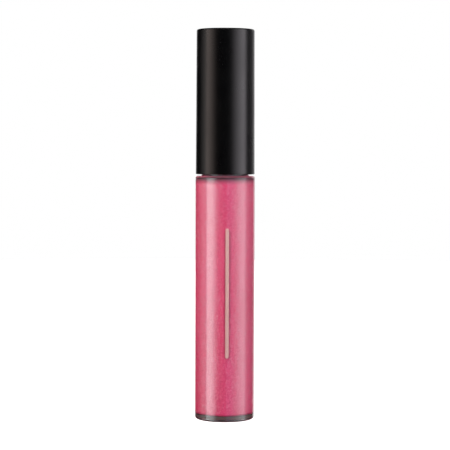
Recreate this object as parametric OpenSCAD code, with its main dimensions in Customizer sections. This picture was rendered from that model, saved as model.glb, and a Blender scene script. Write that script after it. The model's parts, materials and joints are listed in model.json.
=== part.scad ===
// Lip gloss tube: a clear screw-neck bottle with its wiper and fill, and a
// slim cap that carries an applicator wand. The bottle stands on z = 0 and its
// axis is the Z axis. The front of the bottle faces -Y. Millimetres.

/* [Bottle] */
// Outside diameter of the bottle
bottle_d = 16.1; // [15.8:0.1:18]
// Height of the bottle from its base to its shoulder
bottle_h = 66; // [50:0.1:80]
// Thickness of the clear wall
wall_t = 1.8; // [1.5:0.1:2.4]
// Thickness of the clear base under the fill
base_t = 1.4; // [1:0.05:2.5]
// Thickness of the shoulder at the foot of the neck
shoulder_t = 0.7; // [0.6:0.1:2]
// Radius of the dome inside the shoulder
dome_r = 1.9; // [1:0.1:1.9]

/* [Neck] */
// Diameter of the neck between its threads
neck_d = 10.7; // [10.5:0.05:10.9]
// Height of the neck above the shoulder
neck_h = 12; // [11:0.1:14]
// Bore of the neck, which the wiper plugs
neck_bore_d = 8.4; // [8:0.1:8.8]
// Diameter of the collar at the foot of the neck
collar_d = 12.7; // [12.5:0.05:13]

/* [Thread] */
// Distance from one ridge to the next along the axis
thread_pitch = 2.5; // [2.2:0.1:2.8]
// Height of a ridge above its wall
thread_depth = 0.7; // [0.5:0.05:0.75]
// Turns that each of the bottle's two ridges makes
neck_thread_turns = 1.15; // [0.8:0.05:1.3]
// Turns that each of the cap's two ridges makes
cap_thread_turns = 0.9; // [0.6:0.05:1]

/* [Cap] */
// Diameter of the cap at its open end
cap_mouth_d = 15.9; // [15.6:0.05:16]
// Diameter of the cap at its closed end
cap_top_d = 15.6; // [15.4:0.05:16]
// Height of the cap
cap_h = 39; // [34:0.1:46]
// Gap between the shoulder and the cap
cap_gap = 0.45; // [0.3:0.05:0.7]

/* [Wand] */
// Diameter of the wand's stem
stem_d = 3.6; // [3:0.1:3.7]
// Diameter of the flocked tip
tip_d = 4; // [3.8:0.05:4.1]
// Length of the flocked tip
tip_l = 14; // [10:0.5:18]
// Clearance between the tip and the floor of the bottle
tip_gap = 3; // [2:0.05:5]

/* [Trim] */
// Width of the foil line on the front
foil_w = 0.9; // [0.5:0.05:1.5]
// Length of the foil line
foil_l = 34.8; // [20:0.1:42]
// Angle of the foil line round the bottle, towards +X
foil_angle = 4.4; // [0:0.1:20]

/* [Hidden] */
$fn = 96;

e = 0.01;              // overlap that makes a cut or a join certain
fit = 0.02;            // gap between pieces that touch in use

// Bottle
bottle_r = bottle_d / 2;
cavity_r = bottle_r - wall_t;
cavity_top = bottle_h - shoulder_t;
cavity_corner_r = 0.6;
base_edge_r = 0.5;
shoulder_edge_r = 0.6;
recess_r = 6;
recess_depth = 0.35;

// Neck
neck_r = neck_d / 2;
neck_top = bottle_h + neck_h;
neck_edge_r = 0.25;
bore_r = neck_bore_d / 2;
collar_r = collar_d / 2;
collar_h = 0.8;
collar_foot_r = 0.3;

// Thread: two starts, so that a turn lifts the cap by two pitches
starts = 2;
lead = starts * thread_pitch;
ridge_root_w = 1.3;    // width of a ridge where it meets the wall
ridge_tip_w = 0.7;
ridge_sink = 0.3;      // how far a ridge reaches into its wall
ridge_end_h = 0.05;    // height, from its root, at which a ridge starts and ends
steps_per_turn = 48;
run_out = 7;           // steps over which a ridge fades at each end
thread_z = bottle_h + 3.2;  // where the lower end of a ridge is centred
thread_clearance = 0.15;

// Wiper
wiper_gap = 0.05;      // between the barrel and the bore of the neck
flange_r = neck_r - wiper_gap;
flange_t = 0.8;
barrel_r = bore_r - wiper_gap;
barrel_t = 0.75;
barrel_z = bottle_h + 2.4;
seal_rib_r = 0.35;
seal_rib_sink = 0.2;   // how far a rib's centre lies inside the barrel's wall
seal_rib_gap = 0.01;   // between a rib and the bore
seal_rib_z = [2, 6];   // heights of the ribs above the barrel's lower end
lip_l = 2.6;           // length of the cone that narrows to the lip
lip_z = barrel_z - lip_l;
lip_gap = 0.12;        // between the lip and the tip that passes it
lip_r = tip_d / 2 + lip_gap;
lip_t = 0.45;

// Skirt of the inner cap
skirt_bore_r = neck_r + thread_depth + thread_clearance;
skirt_r = 6.92;
skirt_z = bottle_h + collar_h + 0.5;
skirt_edge_r = 0.25;

// Seal washer, between the wiper's flange and the deck of the inner cap
washer_gap = 0.1;      // between the washer and the skirt
washer_r = skirt_bore_r - washer_gap;
washer_bore_r = 2.6;
washer_t = 0.8;
washer_z = neck_top + flange_t + fit;
bead_r = 0.15;         // bead in the skirt that keeps the washer from falling
bead_drop = 0.35;      // how far the bead lies below the washer

// Deck and socket of the inner cap
deck_z = washer_z + washer_t + fit;
deck_t = 1.6;
socket_l = 9.5;        // length of the stem's socket above the deck
socket_r = 3.1;
socket_roof_t = 1;
inner_cap_top = deck_z + deck_t + socket_l;
fin_t = 0.8;
fin_count = 4;
fin_sink = 0.3;        // how far a fin reaches into the socket's wall
fin_r = skirt_r - 0.05;
grip_rib_count = 24;
grip_rib_r = 0.2;
grip_rib_inset = 1;    // distance of the ribs from the skirt's ends

// Cap shell
cap_z = bottle_h + cap_gap;
cap_top = cap_z + cap_h;
shell_gap = 0.08;      // between the skirt and the shell
cap_wall_bore_r = skirt_r + shell_gap;
cap_upper_bore_r = 6.5;
cap_roof_t = 1.4;
cap_roof_z = cap_top - cap_roof_t;
cap_edge_r = 0.45;
cap_mouth_edge_r = 0.15;
cap_rib_count = 6;
cap_rib_t = 0.7;
cap_rib_depth = 0.9;
cap_rib_sink = 0.3;    // how far a rib reaches into the wall and the roof
cap_rib_z = inner_cap_top + 0.5;

// Wand
stem_r = stem_d / 2;
stem_hole_r = stem_r + fit;
stem_top = inner_cap_top - socket_roof_t;
stop_ring_r = stem_r + 0.5;
stop_ring_l = 1.5;
tip_r = tip_d / 2;
tip_z = base_t + tip_gap;
tip_top = tip_z + tip_l;
flock_t = 0.35;
peg_r = 0.9;
peg_l = 5;
peg_end_gap = 0.3;
slant = 11;            // angle between the flat of the tip and the axis
slant_reach = 0.55;    // share of the radius left at the very end

// Fill, which stands in the neck round the cone of the wiper
gloss_r = cavity_r - fit;
gloss_z = base_t + fit;
gloss_shoulder_z = cavity_top - fit;
gloss_top = bottle_h + 1.3;
channel_r = 2.65;      // room that the wand moves in
channel_floor = base_t + 1.2;
cone_gap = 0.08;       // between the fill and the cone

// Trim
foil_t = 0.04;
foil_z = 34.7;         // height of the middle of the line
foil_reach = 1;        // spare length of the tool that cuts the line out
label_r = 5.6;
label_t = 0.12;
label_gap = 0.01;      // between the sticker and the floor of its recess
label_z = recess_depth - label_t - label_gap;

// ---------- shared shapes ----------

// What has to go to round the corner at [x, y] of a profile. Signs say which
// way the material lies from the corner.
module corner_waste(x, y, r, into_x, into_y) {
    translate([x, y]) scale([into_x, into_y])
        difference() {
            translate([-e, -e]) square(r + e);
            translate([r, r]) circle(r);
        }
}

// A rectangle of a profile, from [x0, z0] to [x1, z1].
module block(x0, z0, x1, z1) {
    translate([x0, z0]) square([x1 - x0, z1 - z0]);
}

// One helical ridge that rises by the lead each turn and fades at both ends.
// r_wall is the wall it stands on and dir is 1 outwards or -1 inwards.
module ridge(r_wall, dir, turns) {
    n = round(steps_per_turn * turns);
    fade = [for (i = [0:n]) min(1, i / run_out, (n - i) / run_out)];
    r_root = r_wall - dir * ridge_sink;
    full_h = ridge_sink + thread_depth;
    height = [for (i = [0:n]) ridge_end_h + (full_h - ridge_end_h) * fade[i]];
    points = [for (i = [0:n], corner = [0:3])
        let (a = 360 * turns * i / n,
             z = lead * turns * i / n,
             tip = corner == 1 || corner == 2,
             r = r_root + (tip ? dir * height[i] : 0),
             w = tip ? ridge_tip_w : ridge_root_w,
             side = corner < 2 ? -1 : 1)
        [r * cos(a), r * sin(a), z + side * w / 2]];
    sides = [for (i = [0:n - 1], k = [0:3])
        let (p = 4 * i + k, q = 4 * i + (k + 1) % 4)
        each dir < 0 ? [[p, q + 4, q], [p, p + 4, q + 4]]
                     : [[p, q, q + 4], [p, q + 4, p + 4]]];
    first = dir < 0 ? [0, 1, 2, 3] : [3, 2, 1, 0];
    last = dir < 0 ? [4 * n + 3, 4 * n + 2, 4 * n + 1, 4 * n]
                   : [4 * n, 4 * n + 1, 4 * n + 2, 4 * n + 3];
    polyhedron(points, concat(sides, [first, last]));
}

module ridges(r_wall, dir, turns, z, angle) {
    for (s = [0:starts - 1])
        translate([0, 0, z]) rotate([0, 0, angle + 360 * s / starts])
            ridge(r_wall, dir, turns);
}

// ---------- bottle ----------

module bottle_profile() {
    difference() {
        union() {
            block(0, 0, bottle_r, bottle_h);
            block(0, bottle_h - e, collar_r, bottle_h + collar_h);
            block(0, bottle_h - e, neck_r, neck_top);
            // concave foot of the collar
            difference() {
                block(0, bottle_h - e, collar_r + collar_foot_r, bottle_h + collar_foot_r);
                translate([collar_r + collar_foot_r, bottle_h + collar_foot_r])
                    circle(collar_foot_r);
            }
        }
        corner_waste(bottle_r, 0, base_edge_r, -1, 1);
        corner_waste(bottle_r, bottle_h, shoulder_edge_r, -1, -1);
        corner_waste(neck_r, neck_top, neck_edge_r, -1, -1);
        block(-e, -e, recess_r, recess_depth);
        difference() {
            block(-e, base_t, cavity_r, cavity_top);
            corner_waste(cavity_r, base_t, cavity_corner_r, -1, 1);
            corner_waste(cavity_r, cavity_top, dome_r, -1, -1);
        }
        block(-e, cavity_top - e, bore_r, neck_top + e);
    }
}

module bottle() {
    color([0.92, 0.94, 0.95, 0.3]) {
        union() {
            rotate_extrude() bottle_profile();
            ridges(neck_r, 1, neck_thread_turns, thread_z, 0);
        }
    }
}

module wiper() {
    color([0.93, 0.93, 0.9])
        rotate_extrude()
            union() {
                // flange on the rim of the neck
                block(barrel_r - barrel_t, neck_top + fit, flange_r, neck_top + flange_t);
                // barrel in the bore
                block(barrel_r - barrel_t, barrel_z, barrel_r, neck_top + 2 * fit);
                // seal ribs round the barrel
                intersection() {
                    block(0, barrel_z, bore_r - seal_rib_gap, neck_top);
                    for (z = seal_rib_z)
                        translate([barrel_r - seal_rib_sink, barrel_z + z]) circle(seal_rib_r);
                }
                // cone down to the lip that wipes the stem
                polygon([[barrel_r, barrel_z + e], [barrel_r - barrel_t, barrel_z + e],
                         [lip_r, lip_z + lip_t], [lip_r, lip_z],
                         [lip_r + lip_t, lip_z]]);
            }
}

module gloss_fill() {
    color([0.82, 0.25, 0.42])
        rotate_extrude()
            difference() {
                union() {
                    difference() {
                        block(0, gloss_z, gloss_r, gloss_shoulder_z);
                        corner_waste(gloss_r, gloss_z, cavity_corner_r, -1, 1);
                        corner_waste(gloss_r, gloss_shoulder_z, dome_r, -1, -1);
                    }
                    block(0, gloss_shoulder_z - e, bore_r - fit, gloss_top);
                }
                block(-e, channel_floor, channel_r, gloss_top + e);
                // room for the cone of the wiper
                polygon([[0, lip_z - cone_gap], [lip_r + lip_t + cone_gap, lip_z - cone_gap],
                         [barrel_r + cone_gap, barrel_z], [0, barrel_z]]);
            }
}

// A plain foil line with round ends, printed on the front of the bottle.
module foil_line() {
    color([0.83, 0.68, 0.6])
        intersection() {
            difference() {
                cylinder(r = bottle_r + foil_t, h = bottle_h);
                translate([0, 0, -e]) cylinder(r = bottle_r, h = bottle_h + 2 * e);
            }
            rotate([90, 0, foil_angle])
                translate([0, foil_z, 0])
                    linear_extrude(height = bottle_r + foil_reach)
                        union() {
                            square([foil_w, foil_l - foil_w], center = true);
                            for (side = [-1, 1])
                                translate([0, side * (foil_l - foil_w) / 2])
                                    circle(foil_w / 2);
                        }
        }
}

module base_label() {
    color([0.07, 0.07, 0.08])
        translate([0, 0, label_z])
            cylinder(r = label_r, h = label_t);
}

// ---------- cap ----------

module seal_washer() {
    color([0.9, 0.9, 0.88])
        translate([0, 0, washer_z])
            difference() {
                cylinder(r = washer_r, h = washer_t);
                translate([0, 0, -e]) cylinder(r = washer_bore_r, h = washer_t + 2 * e);
            }
}

module cap_shell_profile() {
    outer = [[0, cap_z], [cap_mouth_d / 2, cap_z], [cap_top_d / 2, cap_top], [0, cap_top]];
    difference() {
        polygon(outer);
        corner_waste(cap_top_d / 2, cap_top, cap_edge_r, -1, -1);
        corner_waste(cap_mouth_d / 2, cap_z, cap_mouth_edge_r, -1, 1);
        block(-e, cap_z - e, cap_wall_bore_r, inner_cap_top + fit);
        block(-e, inner_cap_top, cap_upper_bore_r, cap_roof_z);
    }
}

module cap_shell() {
    color([0.06, 0.06, 0.065])
        union() {
            rotate_extrude() cap_shell_profile();
            // stiffening ribs inside the closed end
            for (i = [0:cap_rib_count - 1])
                rotate([0, 0, 360 * i / cap_rib_count])
                    translate([cap_upper_bore_r - cap_rib_depth, -cap_rib_t / 2, cap_rib_z])
                        cube([cap_rib_depth + cap_rib_sink, cap_rib_t,
                              cap_roof_z - cap_rib_z + cap_rib_sink]);
        }
}

module inner_cap_profile() {
    difference() {
        union() {
            // threaded skirt and the deck that closes it
            block(0, skirt_z, skirt_r, deck_z + deck_t);
            // socket of the stem
            block(0, deck_z, socket_r, inner_cap_top);
        }
        difference() {
            block(-e, skirt_z - e, skirt_bore_r, deck_z);
            // bead that keeps the washer in place
            translate([skirt_bore_r, washer_z - bead_drop]) circle(bead_r);
        }
        corner_waste(skirt_bore_r, skirt_z, skirt_edge_r, 1, 1);
        block(-e, deck_z - e, stem_hole_r, stem_top + fit);
    }
}

module inner_cap() {
    color([0.1, 0.1, 0.11])
        union() {
            rotate_extrude() inner_cap_profile();
            // fins that centre the shell
            for (i = [0:fin_count - 1])
                rotate([0, 0, 45 + 360 * i / fin_count])
                    translate([socket_r - fin_sink, -fin_t / 2, deck_z + deck_t - fin_sink])
                        cube([fin_r - socket_r + fin_sink, fin_t, socket_l + fin_sink]);
            // ribs on the skirt that grip the shell
            for (i = [0:grip_rib_count - 1])
                rotate([0, 0, 360 * i / grip_rib_count])
                    translate([cap_wall_bore_r - fit - grip_rib_r, 0, skirt_z + grip_rib_inset])
                        cylinder(r = grip_rib_r,
                                 h = deck_z + deck_t - skirt_z - 2 * grip_rib_inset, $fn = 24);
            ridges(skirt_bore_r, -1, cap_thread_turns, thread_z, -90);
        }
}

// ---------- wand ----------

module wand_stem() {
    color([0.95, 0.95, 0.94])
        difference() {
            union() {
                translate([0, 0, tip_top]) cylinder(r = stem_r, h = stem_top - tip_top);
                // stop ring under the deck
                translate([0, 0, deck_z - stop_ring_l])
                    cylinder(r = stop_ring_r, h = stop_ring_l - fit);
            }
            translate([0, 0, tip_top - e]) cylinder(r = peg_r + fit, h = peg_l + peg_end_gap + e);
        }
}

// A round-ended rod with a slanted flat, from tip_z up. inset thins it evenly.
module doe_foot(inset) {
    r = tip_r - inset;
    difference() {
        union() {
            translate([0, 0, tip_z + inset + r]) sphere(r);
            translate([0, 0, tip_z + inset + r])
                cylinder(r = r, h = tip_l - inset - r);
        }
        // the flat faces +X and runs out up the side of the rod
        translate([slant_reach * tip_r - inset, 0, tip_z])
            rotate([0, slant, 0])
                translate([0, -tip_d, -tip_d]) cube([tip_d, 2 * tip_d, 2 * tip_l]);
    }
}

module tip_core() {
    color([0.9, 0.88, 0.86])
        union() {
            doe_foot(flock_t + fit);
            translate([0, 0, tip_top - e]) cylinder(r = peg_r, h = peg_l);
        }
}

module flock_coat() {
    color([0.88, 0.5, 0.6])
        difference() {
            doe_foot(0);
            doe_foot(flock_t);
            // trims the coat just short of the stem
            translate([0, 0, tip_top - e]) cylinder(r = 2 * tip_r, h = 2 * e);
        }
}

bottle();
wiper();
gloss_fill();
foil_line();
base_label();
seal_washer();
cap_shell();
inner_cap();
wand_stem();
tip_core();
flock_coat();
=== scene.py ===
"""Looks of a lip gloss tube: materials, fill, flock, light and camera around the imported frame."""
import json
import math
import random

import bmesh
import bpy
from mathutils import Matrix, Vector

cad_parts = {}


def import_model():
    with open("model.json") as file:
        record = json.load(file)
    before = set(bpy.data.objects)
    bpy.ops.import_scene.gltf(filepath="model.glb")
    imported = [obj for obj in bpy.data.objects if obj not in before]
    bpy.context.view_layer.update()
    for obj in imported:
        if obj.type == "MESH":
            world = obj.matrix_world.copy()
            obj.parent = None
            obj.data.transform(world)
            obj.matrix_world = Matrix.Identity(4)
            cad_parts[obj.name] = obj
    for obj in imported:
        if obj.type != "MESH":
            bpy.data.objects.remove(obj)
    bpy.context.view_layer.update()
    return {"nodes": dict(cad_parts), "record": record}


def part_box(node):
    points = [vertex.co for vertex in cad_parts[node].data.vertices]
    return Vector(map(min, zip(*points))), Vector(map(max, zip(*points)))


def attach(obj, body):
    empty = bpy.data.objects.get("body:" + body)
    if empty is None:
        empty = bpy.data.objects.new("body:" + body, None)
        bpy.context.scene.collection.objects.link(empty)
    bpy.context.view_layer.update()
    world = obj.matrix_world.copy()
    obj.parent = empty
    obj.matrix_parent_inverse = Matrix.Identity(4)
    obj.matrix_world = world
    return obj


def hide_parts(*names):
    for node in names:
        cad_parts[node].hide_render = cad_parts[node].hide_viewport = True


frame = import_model()
nodes = frame["nodes"]
scene = bpy.context.scene

MM = 0.001
# Height that every light looks at
TUBE_MIDDLE = 0.055


# ---------- materials ----------

class Nodes:
    """A short way to build a material's node tree."""

    def __init__(self, name):
        self.material = bpy.data.materials.new(name)
        self.material.use_nodes = True
        self.tree = self.material.node_tree
        self.tree.nodes.clear()
        self.out = self.tree.nodes.new("ShaderNodeOutputMaterial")

    def add(self, kind, **settings):
        """A new node. A setting _x is the node's property x. Any other is an input, with __ for a space."""
        node = self.tree.nodes.new("ShaderNode" + kind)
        for key, value in settings.items():
            if key.startswith("_"):
                setattr(node, key[1:], value)
            else:
                node.inputs[key.replace("__", " ")].default_value = value
        return node

    def link(self, source, target):
        self.tree.links.new(source, target)

    def coordinates(self, scale=(1, 1, 1)):
        """Object coordinates, stretched by scale."""
        place = self.add("TexCoord")
        stretch = self.add("Mapping", Scale=scale)
        self.link(place.outputs["Object"], stretch.inputs["Vector"])
        return stretch.outputs["Vector"]

    def height(self):
        """The object's own Z, in metres."""
        place = self.add("SeparateXYZ")
        self.link(self.coordinates(), place.inputs[0])
        return place.outputs["Z"]

    def noise(self, size_mm, scale=(1, 1, 1), detail=3.0, roughness=0.5):
        """Noise whose features are about size_mm across."""
        node = self.add("TexNoise", Scale=1 / (size_mm * MM), Detail=detail, Roughness=roughness)
        self.link(self.coordinates(scale), node.inputs["Vector"])
        return node.outputs["Fac"]

    def cells(self, size_mm, scale=(1, 1, 1)):
        """Cells about size_mm across: a node with Distance and Color outputs."""
        node = self.add("TexVoronoi", Scale=1 / (size_mm * MM))
        self.link(self.coordinates(scale), node.inputs["Vector"])
        return node

    def channels(self, colour):
        """Red, green and blue of a colour. For a cell they are three random values of its own."""
        node = self.add("SeparateColor")
        self.link(colour, node.inputs["Color"])
        return node.outputs

    def spread(self, value, low, high, from_low=0.3, from_high=0.7):
        """Maps from_low..from_high on to low..high, and holds the ends."""
        node = self.add("MapRange")
        node.inputs["From Min"].default_value = from_low
        node.inputs["From Max"].default_value = from_high
        node.inputs["To Min"].default_value = low
        node.inputs["To Max"].default_value = high
        self.link(value, node.inputs["Value"])
        return node.outputs["Result"]

    def blend(self, factor, first, second):
        """Mixes two colours, each a tuple or a socket."""
        node = self.add("Mix", _data_type="RGBA")
        self.link(factor, node.inputs["Factor"])
        for socket, colour in ((node.inputs[6], first), (node.inputs[7], second)):
            if isinstance(colour, tuple):
                socket.default_value = colour + (1,)
            else:
                self.link(colour, socket)
        return node.outputs[2]

    def bump(self, height, depth_mm, strength=1.0, below=None):
        """Relief depth_mm deep, on top of the relief below where that is given."""
        node = self.add("Bump", Strength=strength, Distance=depth_mm * MM)
        self.link(height, node.inputs["Height"])
        if below is not None:
            self.link(below, node.inputs["Normal"])
        return node.outputs["Normal"]

    def tilt(self, colour, amount):
        """A normal that leans its own way in each patch of colour, as flakes lie at all angles."""
        face = self.add("NewGeometry")
        lean = self.add("VectorMath", _operation="MULTIPLY_ADD")
        self.link(colour, lean.inputs[0])
        lean.inputs[1].default_value = (amount, amount, amount)
        lean.inputs[2].default_value = (-amount / 2, -amount / 2, -amount / 2)
        total = self.add("VectorMath", _operation="ADD")
        self.link(face.outputs["Normal"], total.inputs[0])
        self.link(lean.outputs[0], total.inputs[1])
        unit = self.add("VectorMath", _operation="NORMALIZE")
        self.link(total.outputs[0], unit.inputs[0])
        return unit.outputs[0]

    def surface(self, shader):
        self.link(shader, self.out.inputs["Surface"])
        return self.material


def by_ray(tree, shader, choices):
    """A shader that gives way to another for some kinds of ray. choices lists (ray, shader)."""
    path = tree.nodes.new("ShaderNodeLightPath")
    for ray, other in choices:
        mix = tree.nodes.new("ShaderNodeMixShader")
        tree.links.new(path.outputs[ray], mix.inputs[0])
        tree.links.new(shader, mix.inputs[1])
        tree.links.new(other, mix.inputs[2])
        shader = mix.outputs[0]
    return shader


def clear_bottle():
    """Clear plastic. The light that it lets through to the fill goes straight, without caustics."""
    n = Nodes("clear_bottle")
    body = n.add("BsdfPrincipled", Base__Color=(0.96, 0.965, 0.97, 1), IOR=1.55, Roughness=0.02)
    body.inputs["Transmission Weight"].default_value = 1.0
    n.link(n.spread(n.noise(9, (1, 1, 0.4)), 0.012, 0.045), body.inputs["Roughness"])
    n.link(n.bump(n.noise(6, (1, 1, 0.3), 2), 0.004), body.inputs["Normal"])
    straight = n.add("BsdfTransparent", Color=(0.93, 0.93, 0.94, 1)).outputs[0]
    choices = [("Is Diffuse Ray", straight), ("Is Shadow Ray", straight)]
    return n.surface(by_ray(n.tree, body.outputs[0], choices))


def gloss_pearl(dome_z, crown_z):
    """Pink liquid with fine mica. From dome_z up its colour is darkened by painted shade under the
    shoulder, greyed a little as a painted reflection, and painted darkest above crown_z.
    """
    n = Nodes("gloss_pearl")
    body = n.add("BsdfPrincipled", Metallic=0.05, IOR=2.6, Specular__Tint=(0.22, 1.0, 0.90, 1))
    swirl = n.noise(7, (1, 1, 0.35), 4, 0.55)
    base = n.blend(n.spread(swirl, 0, 1), (0.81, 0.010, 0.122), (0.89, 0.020, 0.162))
    flakes = n.cells(0.26)
    sparkle = n.channels(flakes.outputs["Color"])
    light = n.spread(sparkle[0], 0, 0.20, 0.60, 1.0)
    dark = n.spread(sparkle[2], 0.20, 0, 0, 0.40)
    pearl = n.blend(dark, n.blend(light, base, (0.95, 0.32, 0.42)), (0.52, 0.004, 0.080))
    height = n.height()
    # Painted shade under the shoulder, mixed towards a grey that is a painted reflection of its rounded
    # edge.
    pearl_with_painted_shade = n.blend(n.spread(height, 0, 1, dome_z, crown_z), pearl, (0.30, 0.13, 0.165))
    # Painted shade: above crown_z the fill, seen through the clear shoulder, is painted dark crimson.
    painted_top_shade_mask = n.spread(height, 0, 1, crown_z - 0.08 * MM, crown_z)
    n.link(n.blend(painted_top_shade_mask, pearl_with_painted_shade, (0.15, 0.012, 0.038)), body.inputs["Base Color"])
    n.link(n.spread(sparkle[1], 0.33, 0.49, 0, 1), body.inputs["Roughness"])
    facets = n.tilt(flakes.outputs["Color"], 0.22)
    n.link(n.bump(flakes.outputs["Distance"], 0.008, 0.4, facets), body.inputs["Normal"])
    return n.surface(body.outputs[0])


def cap_black():
    """Satin black, with a fine moulded grain and faint smudges."""
    n = Nodes("cap_black")
    body = n.add("BsdfPrincipled", IOR=1.42)
    tone = n.blend(n.noise(3), (0.0008, 0.0008, 0.0010), (0.0018, 0.0018, 0.0020))
    n.link(tone, body.inputs["Base Color"])
    smudge = n.noise(5, (1, 1, 0.6), 4, 0.6)
    n.link(n.spread(smudge, 0.26, 0.34), body.inputs["Roughness"])
    grain = n.bump(n.noise(0.25, detail=2), 0.003, 0.6)
    n.link(n.bump(n.noise(4, (1, 1, 0.5)), 0.01, 0.5, grain), body.inputs["Normal"])
    return n.surface(body.outputs[0])


def plastic(name, dark, light, roughness, grain_mm=0.4, subsurface=0.0):
    """Moulded plastic with slight colour, gloss and grain variation."""
    n = Nodes(name)
    body = n.add("BsdfPrincipled", IOR=1.5)
    body.inputs["Subsurface Weight"].default_value = subsurface
    body.inputs["Subsurface Scale"].default_value = 0.4 * MM
    n.link(n.blend(n.spread(n.noise(2.5), 0, 1), dark, light), body.inputs["Base Color"])
    n.link(n.spread(n.noise(1.2), roughness - 0.05, roughness + 0.05), body.inputs["Roughness"])
    n.link(n.bump(n.noise(grain_mm, detail=2), 0.006, 0.5), body.inputs["Normal"])
    return n.surface(body.outputs[0])


def wetted_stem(film_top):
    """Natural plastic with a film of gloss on it below film_top, where it stands in the fill."""
    run_depth = 2.5 * MM
    edge_width = 1.2 * MM
    n = Nodes("stem_plastic")
    body = n.add("BsdfPrincipled", IOR=1.5)
    body.inputs["Subsurface Weight"].default_value = 0.3
    body.inputs["Subsurface Scale"].default_value = 0.4 * MM
    clean = n.blend(n.noise(2.5), (0.60, 0.60, 0.58), (0.68, 0.68, 0.67))
    streaks = n.spread(n.noise(1.6, (1, 1, 0.25)), 0, 1)
    film = n.blend(streaks, (0.50, 0.020, 0.090), (0.60, 0.17, 0.24))
    ragged = n.add("Math", _operation="MULTIPLY_ADD")
    n.link(n.noise(1.1), ragged.inputs[0])
    ragged.inputs[1].default_value = run_depth
    n.link(n.height(), ragged.inputs[2])
    dry = n.spread(ragged.outputs[0], 0, 1, film_top, film_top + edge_width)
    n.link(n.blend(dry, film, clean), body.inputs["Base Color"])
    n.link(n.spread(dry, 0.10, 0.24, 0, 1), body.inputs["Roughness"])
    n.link(n.bump(n.noise(1.4, (1, 1, 0.4), 2), 0.02, 0.5), body.inputs["Normal"])
    return n.surface(body.outputs[0])


def soaked_flock():
    """Short matted fibres that hold gloss, wetter and smoother in patches."""
    n = Nodes("flock")
    body = n.add("BsdfPrincipled", IOR=1.45)
    body.inputs["Sheen Weight"].default_value = 0.4
    tufts = n.channels(n.cells(0.10, (1, 1, 0.6)).outputs["Color"])
    fibre = n.blend(tufts[0], (0.30, 0.012, 0.055), (0.66, 0.110, 0.190))
    wet = n.spread(n.noise(1.6, (1, 1, 0.5)), 0, 0.7)
    n.link(n.blend(wet, fibre, (0.46, 0.020, 0.085)), body.inputs["Base Color"])
    n.link(n.spread(wet, 0.75, 0.45, 0, 0.7), body.inputs["Roughness"])
    n.link(n.bump(n.noise(0.07, (1, 1, 0.4), 2), 0.03, 0.8), body.inputs["Normal"])
    return n.surface(body.outputs[0])


def foil_champagne():
    """Hot-stamped foil, brushed along the line."""
    n = Nodes("foil_champagne")
    body = n.add("BsdfPrincipled", Metallic=0.35)
    tone = n.blend(n.noise(0.6, (1, 1, 0.2)), (0.74, 0.41, 0.36), (0.84, 0.50, 0.44))
    n.link(tone, body.inputs["Base Color"])
    n.link(n.spread(n.noise(0.3), 0.24, 0.42), body.inputs["Roughness"])
    n.link(n.bump(n.noise(0.15), 0.002, 0.5), body.inputs["Normal"])
    return n.surface(body.outputs[0])


# The fill's shape follows the node gloss_fill. The liquid meets the wall, so it reaches just into it.
wetting = 0.03 * MM
fill_low, fill_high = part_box("gloss_fill")
fill_r = fill_high.x + wetting
fill_bottom = fill_low.z - wetting
foot_corner_r = 0.6 * MM
# Top of the fill: a dome under the shoulder, then a stub in the neck round the wiper's cone
neck_fill_r = 4.18 * MM + wetting
neck_fill_top = fill_high.z
shoulder_z = neck_fill_top - 2.02 * MM + wetting
dome_r = 1.9 * MM
cone_low = neck_fill_top - 1.58 * MM
cone_r = 3.58 * MM
# Free channel for the wand
channel_r = 2.65 * MM
channel_floor = fill_low.z + 1.18 * MM
# Height from which painted shade darkens the fill under the shoulder
painted_shade_from_z = shoulder_z - 1.6 * MM

looks = {
    "clear_bottle": clear_bottle(),
    "gloss_pearl": gloss_pearl(painted_shade_from_z, shoulder_z),
    "cap_black": cap_black(),
    "foil_champagne": foil_champagne(),
    "inner_cap_black": plastic("inner_cap_black", (0.010, 0.010, 0.011), (0.018, 0.018, 0.019), 0.45),
    "wiper_soft": plastic("wiper_soft", (0.80, 0.79, 0.75), (0.88, 0.87, 0.84), 0.40, subsurface=0.4),
    "washer_foam": plastic("washer_foam", (0.80, 0.80, 0.78), (0.90, 0.90, 0.88), 0.60, grain_mm=0.12),
    "label_black": plastic("label_black", (0.012, 0.012, 0.013), (0.020, 0.020, 0.022), 0.50),
    "stem_plastic": wetted_stem(neck_fill_top),
    "tip_plastic": plastic("tip_plastic", (0.78, 0.76, 0.74), (0.86, 0.84, 0.82), 0.40),
    "flock": soaked_flock(),
}

for row in frame["record"]["subparts"]:
    mesh = nodes[row["node"]].data
    mesh.materials.clear()
    mesh.materials.append(looks[row["material_slot"]])


# ---------- fill ----------

def lathe(name, profile, segments, material):
    """A closed solid turned round the Z axis. profile lists (r, z), and both its ends are on the axis."""
    mesh = bpy.data.meshes.new(name)
    piece = bpy.data.objects.new(name, mesh)
    scene.collection.objects.link(piece)
    bm = bmesh.new()
    turn = [2 * math.pi * i / segments for i in range(segments)]
    rings = []
    for r, z in profile:
        angles = turn if r > 0 else [0]
        rings.append([bm.verts.new((r * math.cos(a), r * math.sin(a), z)) for a in angles])
    for low, high in zip(rings, rings[1:]):
        for i in range(segments):
            j = (i + 1) % segments
            corners = (low[i % len(low)], low[j % len(low)], high[j % len(high)], high[i % len(high)])
            bm.faces.new(list(dict.fromkeys(corners))).smooth = True
    bmesh.ops.recalc_face_normals(bm, faces=bm.faces)
    bm.to_mesh(mesh)
    bm.free()
    mesh.set_sharp_from_angle(angle=math.radians(40))
    mesh.materials.append(material)
    return piece


def arc(centre_r, centre_z, radius, start, end, steps=6):
    """Points of a round corner, angles in degrees."""
    turn = [math.radians(start + (end - start) * i / steps) for i in range(steps + 1)]
    return [(centre_r + radius * math.cos(a), centre_z + radius * math.sin(a)) for a in turn]


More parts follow.
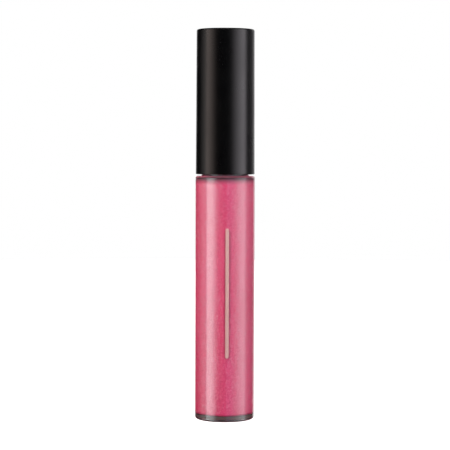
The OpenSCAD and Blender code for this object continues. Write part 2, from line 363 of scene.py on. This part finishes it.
# Rings up the wall keep its faces short. The dome takes the place of the last one.
wall_rings = 23
ring_gap = (shoulder_z - fill_bottom) / (wall_rings + 1)
fill_profile = (
    [(0, fill_bottom)]
    + arc(fill_r - foot_corner_r, fill_bottom + foot_corner_r, foot_corner_r, -90, 0)
    + [(fill_r, fill_bottom + ring_gap * k) for k in range(1, wall_rings)]
    + arc(fill_r - dome_r, shoulder_z - dome_r, dome_r, 0, 90, 16)
    + [(neck_fill_r, shoulder_z), (neck_fill_r, neck_fill_top), (cone_r, neck_fill_top)]
    + [(channel_r, cone_low), (channel_r, channel_floor), (0, channel_floor)]
)
fill = lathe("gloss_liquid", fill_profile, segments=160, material=looks["gloss_pearl"])
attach(fill, "bottle_body")
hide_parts("gloss_fill")


# ---------- flock ----------

def flock_fibres(coat, count, seed):
    """Short fibres that stand out of the flocked tip, each a thin three-sided spike."""
    foot_r = 0.018 * MM
    sunk = 0.03 * MM
    shortest, longest = 0.07 * MM, 0.12 * MM
    bare_rim = 0.1 * MM
    spread, droop = 0.35, -0.25
    dice = random.Random(seed)
    mesh = coat.data
    low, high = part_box("flock_coat")
    middle = (low + high) / 2
    outer = [face for face in mesh.polygons if face.normal.dot(face.center - middle) > 0]
    faces = [face for face in outer if face.center.z < high.z - bare_rim]
    picks = dice.choices(faces, weights=[face.area for face in faces], k=count)
    bm = bmesh.new()
    for face in picks:
        corners = [mesh.vertices[i].co for i in face.vertices]
        a, b = sorted((dice.random(), dice.random()))
        k = dice.randrange(1, len(corners) - 1)
        root = corners[0] * a + corners[k] * (b - a) + corners[k + 1] * (1 - b) - face.normal * sunk
        lean = Vector((dice.gauss(0, spread), dice.gauss(0, spread), dice.gauss(droop, spread)))
        way = (face.normal + lean).normalized()
        side = way.orthogonal().normalized() * foot_r
        tip = bm.verts.new(root + way * dice.uniform(shortest, longest))
        turns = [Matrix.Rotation(math.radians(120 * i), 3, way) for i in range(3)]
        foot = [bm.verts.new(root + turn @ side) for turn in turns]
        bm.faces.new(foot[::-1])
        for i in range(3):
            bm.faces.new((foot[i], foot[(i + 1) % 3], tip))
    spikes = bpy.data.meshes.new("flock_fibres")
    bm.to_mesh(spikes)
    bm.free()
    piece = bpy.data.objects.new("flock_fibres", spikes)
    scene.collection.objects.link(piece)
    spikes.materials.append(looks["flock"])
    return piece


fibres = flock_fibres(nodes["flock_coat"], count=9000, seed=7)
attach(fibres, "cap")


# ---------- floor, light, camera ----------

def floor():
    """A white floor for the camera. It shows dimly through the clear base and lights nothing."""
    mesh = bpy.data.meshes.new("floor")
    piece = bpy.data.objects.new("floor", mesh)
    scene.collection.objects.link(piece)
    bm = bmesh.new()
    bmesh.ops.create_circle(bm, cap_ends=True, segments=96, radius=0.6)
    bm.to_mesh(mesh)
    bm.free()
    n = Nodes("floor")
    body = n.add("BsdfPrincipled", Roughness=0.9)
    body.inputs["Specular IOR Level"].default_value = 0.1
    n.link(n.blend(n.noise(20), (0.90, 0.90, 0.90), (0.92, 0.92, 0.92)), body.inputs["Base Color"])
    body.inputs["Emission Color"].default_value = (1, 1, 1, 1)
    body.inputs["Emission Strength"].default_value = 0.92
    dim = n.add("Emission", Color=(0.22, 0.19, 0.185, 1))
    mesh.materials.append(n.surface(by_ray(n.tree, dim.outputs[0], [("Is Camera Ray", body.outputs[0])])))
    piece.visible_glossy = False
    piece.visible_diffuse = False


def softbox(name, azimuth, width, radiance, height=0.55, distance=0.5, rise=0.06, tint=(1, 1, 1),
            fade=None, lights=None):
    """A soft light that looks at the middle of the tube, with sizes in metres.

    azimuth is measured from the front (-Y) towards +X, in degrees.
    fade gives the share of the width over which each edge of the light dies away.
    lights lists the pieces that it lights, or is None where it lights them all.
    """
    data = bpy.data.lights.new(name, "AREA")
    data.shape = "RECTANGLE"
    data.size, data.size_y = width, height
    data.energy = radiance * math.pi * width * height
    data.color = tint
    lamp = bpy.data.objects.new(name, data)
    scene.collection.objects.link(lamp)
    a = math.radians(azimuth)
    lamp.location = (distance * math.sin(a), -distance * math.cos(a), rise)
    aim = Vector((0, 0, TUBE_MIDDLE)) - lamp.location
    lamp.rotation_euler = aim.to_track_quat("-Z", "Y").to_euler()
    lamp.visible_camera = False
    if fade:
        data.use_nodes = True
        tree = data.node_tree
        glow = next(node for node in tree.nodes if node.type == "EMISSION")
        where = tree.nodes.new("ShaderNodeNewGeometry")
        split = tree.nodes.new("ShaderNodeSeparateXYZ")
        tree.links.new(where.outputs["Parametric"], split.inputs[0])
        share = tree.nodes.new("ShaderNodeMath")
        share.operation = "MULTIPLY"
        for k, (start, end) in enumerate(((0, fade[0]), (1, 1 - fade[1]))):
            ramp = tree.nodes.new("ShaderNodeMapRange")
            ramp.interpolation_type = "SMOOTHSTEP"
            ramp.inputs["From Min"].default_value = start
            ramp.inputs["From Max"].default_value = end
            tree.links.new(split.outputs["X"], ramp.inputs["Value"])
            tree.links.new(ramp.outputs["Result"], share.inputs[k])
        tree.links.new(share.outputs[0], glow.inputs["Strength"])
    if lights:
        group = bpy.data.collections.new(name)
        for piece in lights:
            group.objects.link(piece)
        lamp.light_linking.receiver_collection = group
    return lamp


def world():
    """A room that is white to the camera, dim through clear plastic, and nearly black to reflections."""
    studio = bpy.data.worlds.new("studio")
    scene.world = studio
    studio.use_nodes = True
    tree = studio.node_tree
    tree.nodes.clear()
    rooms = []
    for colour in ((0.006, 0.006, 0.008, 1), (0.100, 0.066, 0.063, 1), (1, 1, 1, 1)):
        room = tree.nodes.new("ShaderNodeBackground")
        room.inputs["Color"].default_value = colour
        rooms.append(room.outputs[0])
    mirrored, seen_through, seen = rooms
    shader = by_ray(tree, mirrored, [("Is Transmission Ray", seen_through), ("Is Camera Ray", seen)])
    out = tree.nodes.new("ShaderNodeOutputWorld")
    tree.links.new(shader, out.inputs["Surface"])


floor()
world()

bottle_names = frame["record"]["behaviour"]["bodies"]["bottle_body"]
bottle_pieces = [nodes[name] for name in bottle_names] + [fill]
cap_pieces = [nodes[name] for name in nodes if name not in bottle_names] + [fibres]
white = (1, 1, 1)
warm = (1.0, 0.83, 0.77)
cool = (1.0, 0.94, 1.0)

# Each row is name, azimuth, width, radiance, tint and fade.
cap_lights = (
    ("cap_left_key", -57, 0.46, 2.9, warm, (0.02, 0.95)),
    ("cap_right_key", 56, 0.76, 4.3, cool, (0.80, 0.22)),
    ("cap_right_wrap", 128, 0.50, 0.25, cool, (0.40, 0.40)),
)
for name, azimuth, width, radiance, tint, fade in cap_lights:
    softbox(name, azimuth, width, radiance, tint=tint, fade=fade, lights=cap_pieces)

bottle_lights = (
    ("bottle_left_key", -53, 0.52, 4.9, (0.80, 0.93, 0.92), (0.22, 0.60)),
    ("bottle_right_key", 57, 0.76, 3.5, (0.82, 0.92, 0.95), (0.80, 0.30)),
    ("bottle_right_wrap", 93, 0.34, 0.8, (0.90, 0.96, 1.0), (0.40, 0.60)),
    ("bottle_front_glow", 24, 0.36, 0.7, (0.70, 0.63, 1.0), (0.14, 0.50)),
)
for name, azimuth, width, radiance, tint, fade in bottle_lights:
    shine = softbox(name, azimuth, width, radiance, tint=tint, fade=fade, lights=bottle_pieces)
    shine.visible_diffuse = False

softbox("left_wrap", -97, 0.36, 0.75, tint=(1.0, 0.95, 0.93), fade=(0.8, 0.02))
back_panel = softbox("back_panel", 173, 0.62, 0.8, height=0.60)
back_panel.visible_transmission = False
softbox("top", 0, 0.30, 1.0, height=0.30, distance=0.01, rise=0.6)

# These light the colours alone, and no highlight shows them. Each row is as above, without the fade.
fill_lights = (
    ("front_fill_left", -13, 0.12, 16.4, white),
    ("front_fill_right", 13, 0.12, 14.4, white),
    ("left_fill", -120, 0.4, 8.8, (1.0, 0.86, 0.78)),
    ("right_fill", 120, 0.4, 7.2, white),
)
for name, azimuth, width, radiance, tint in fill_lights:
    fill_light = softbox(name, azimuth, width, radiance, height=0.5, distance=0.7, rise=0.2, tint=tint)
    fill_light.visible_glossy = False
    fill_light.visible_transmission = False

camera_data = bpy.data.cameras.new("camera")
camera = bpy.data.objects.new("camera", camera_data)
scene.collection.objects.link(camera)
camera_data.sensor_width = 36
camera_data.lens = 134.42
camera_data.clip_start = 0.01
camera.location = (0, -0.4552, 0.07605)
aim_at = Vector((0, 0, 0.05265))
look = (aim_at - camera.location).to_track_quat("-Z", "Y").to_matrix().to_4x4()
camera.rotation_euler = (look @ Matrix.Rotation(math.radians(0.2), 4, "Z")).to_euler()
scene.camera = camera
scene.view_settings.view_transform = "Standard"
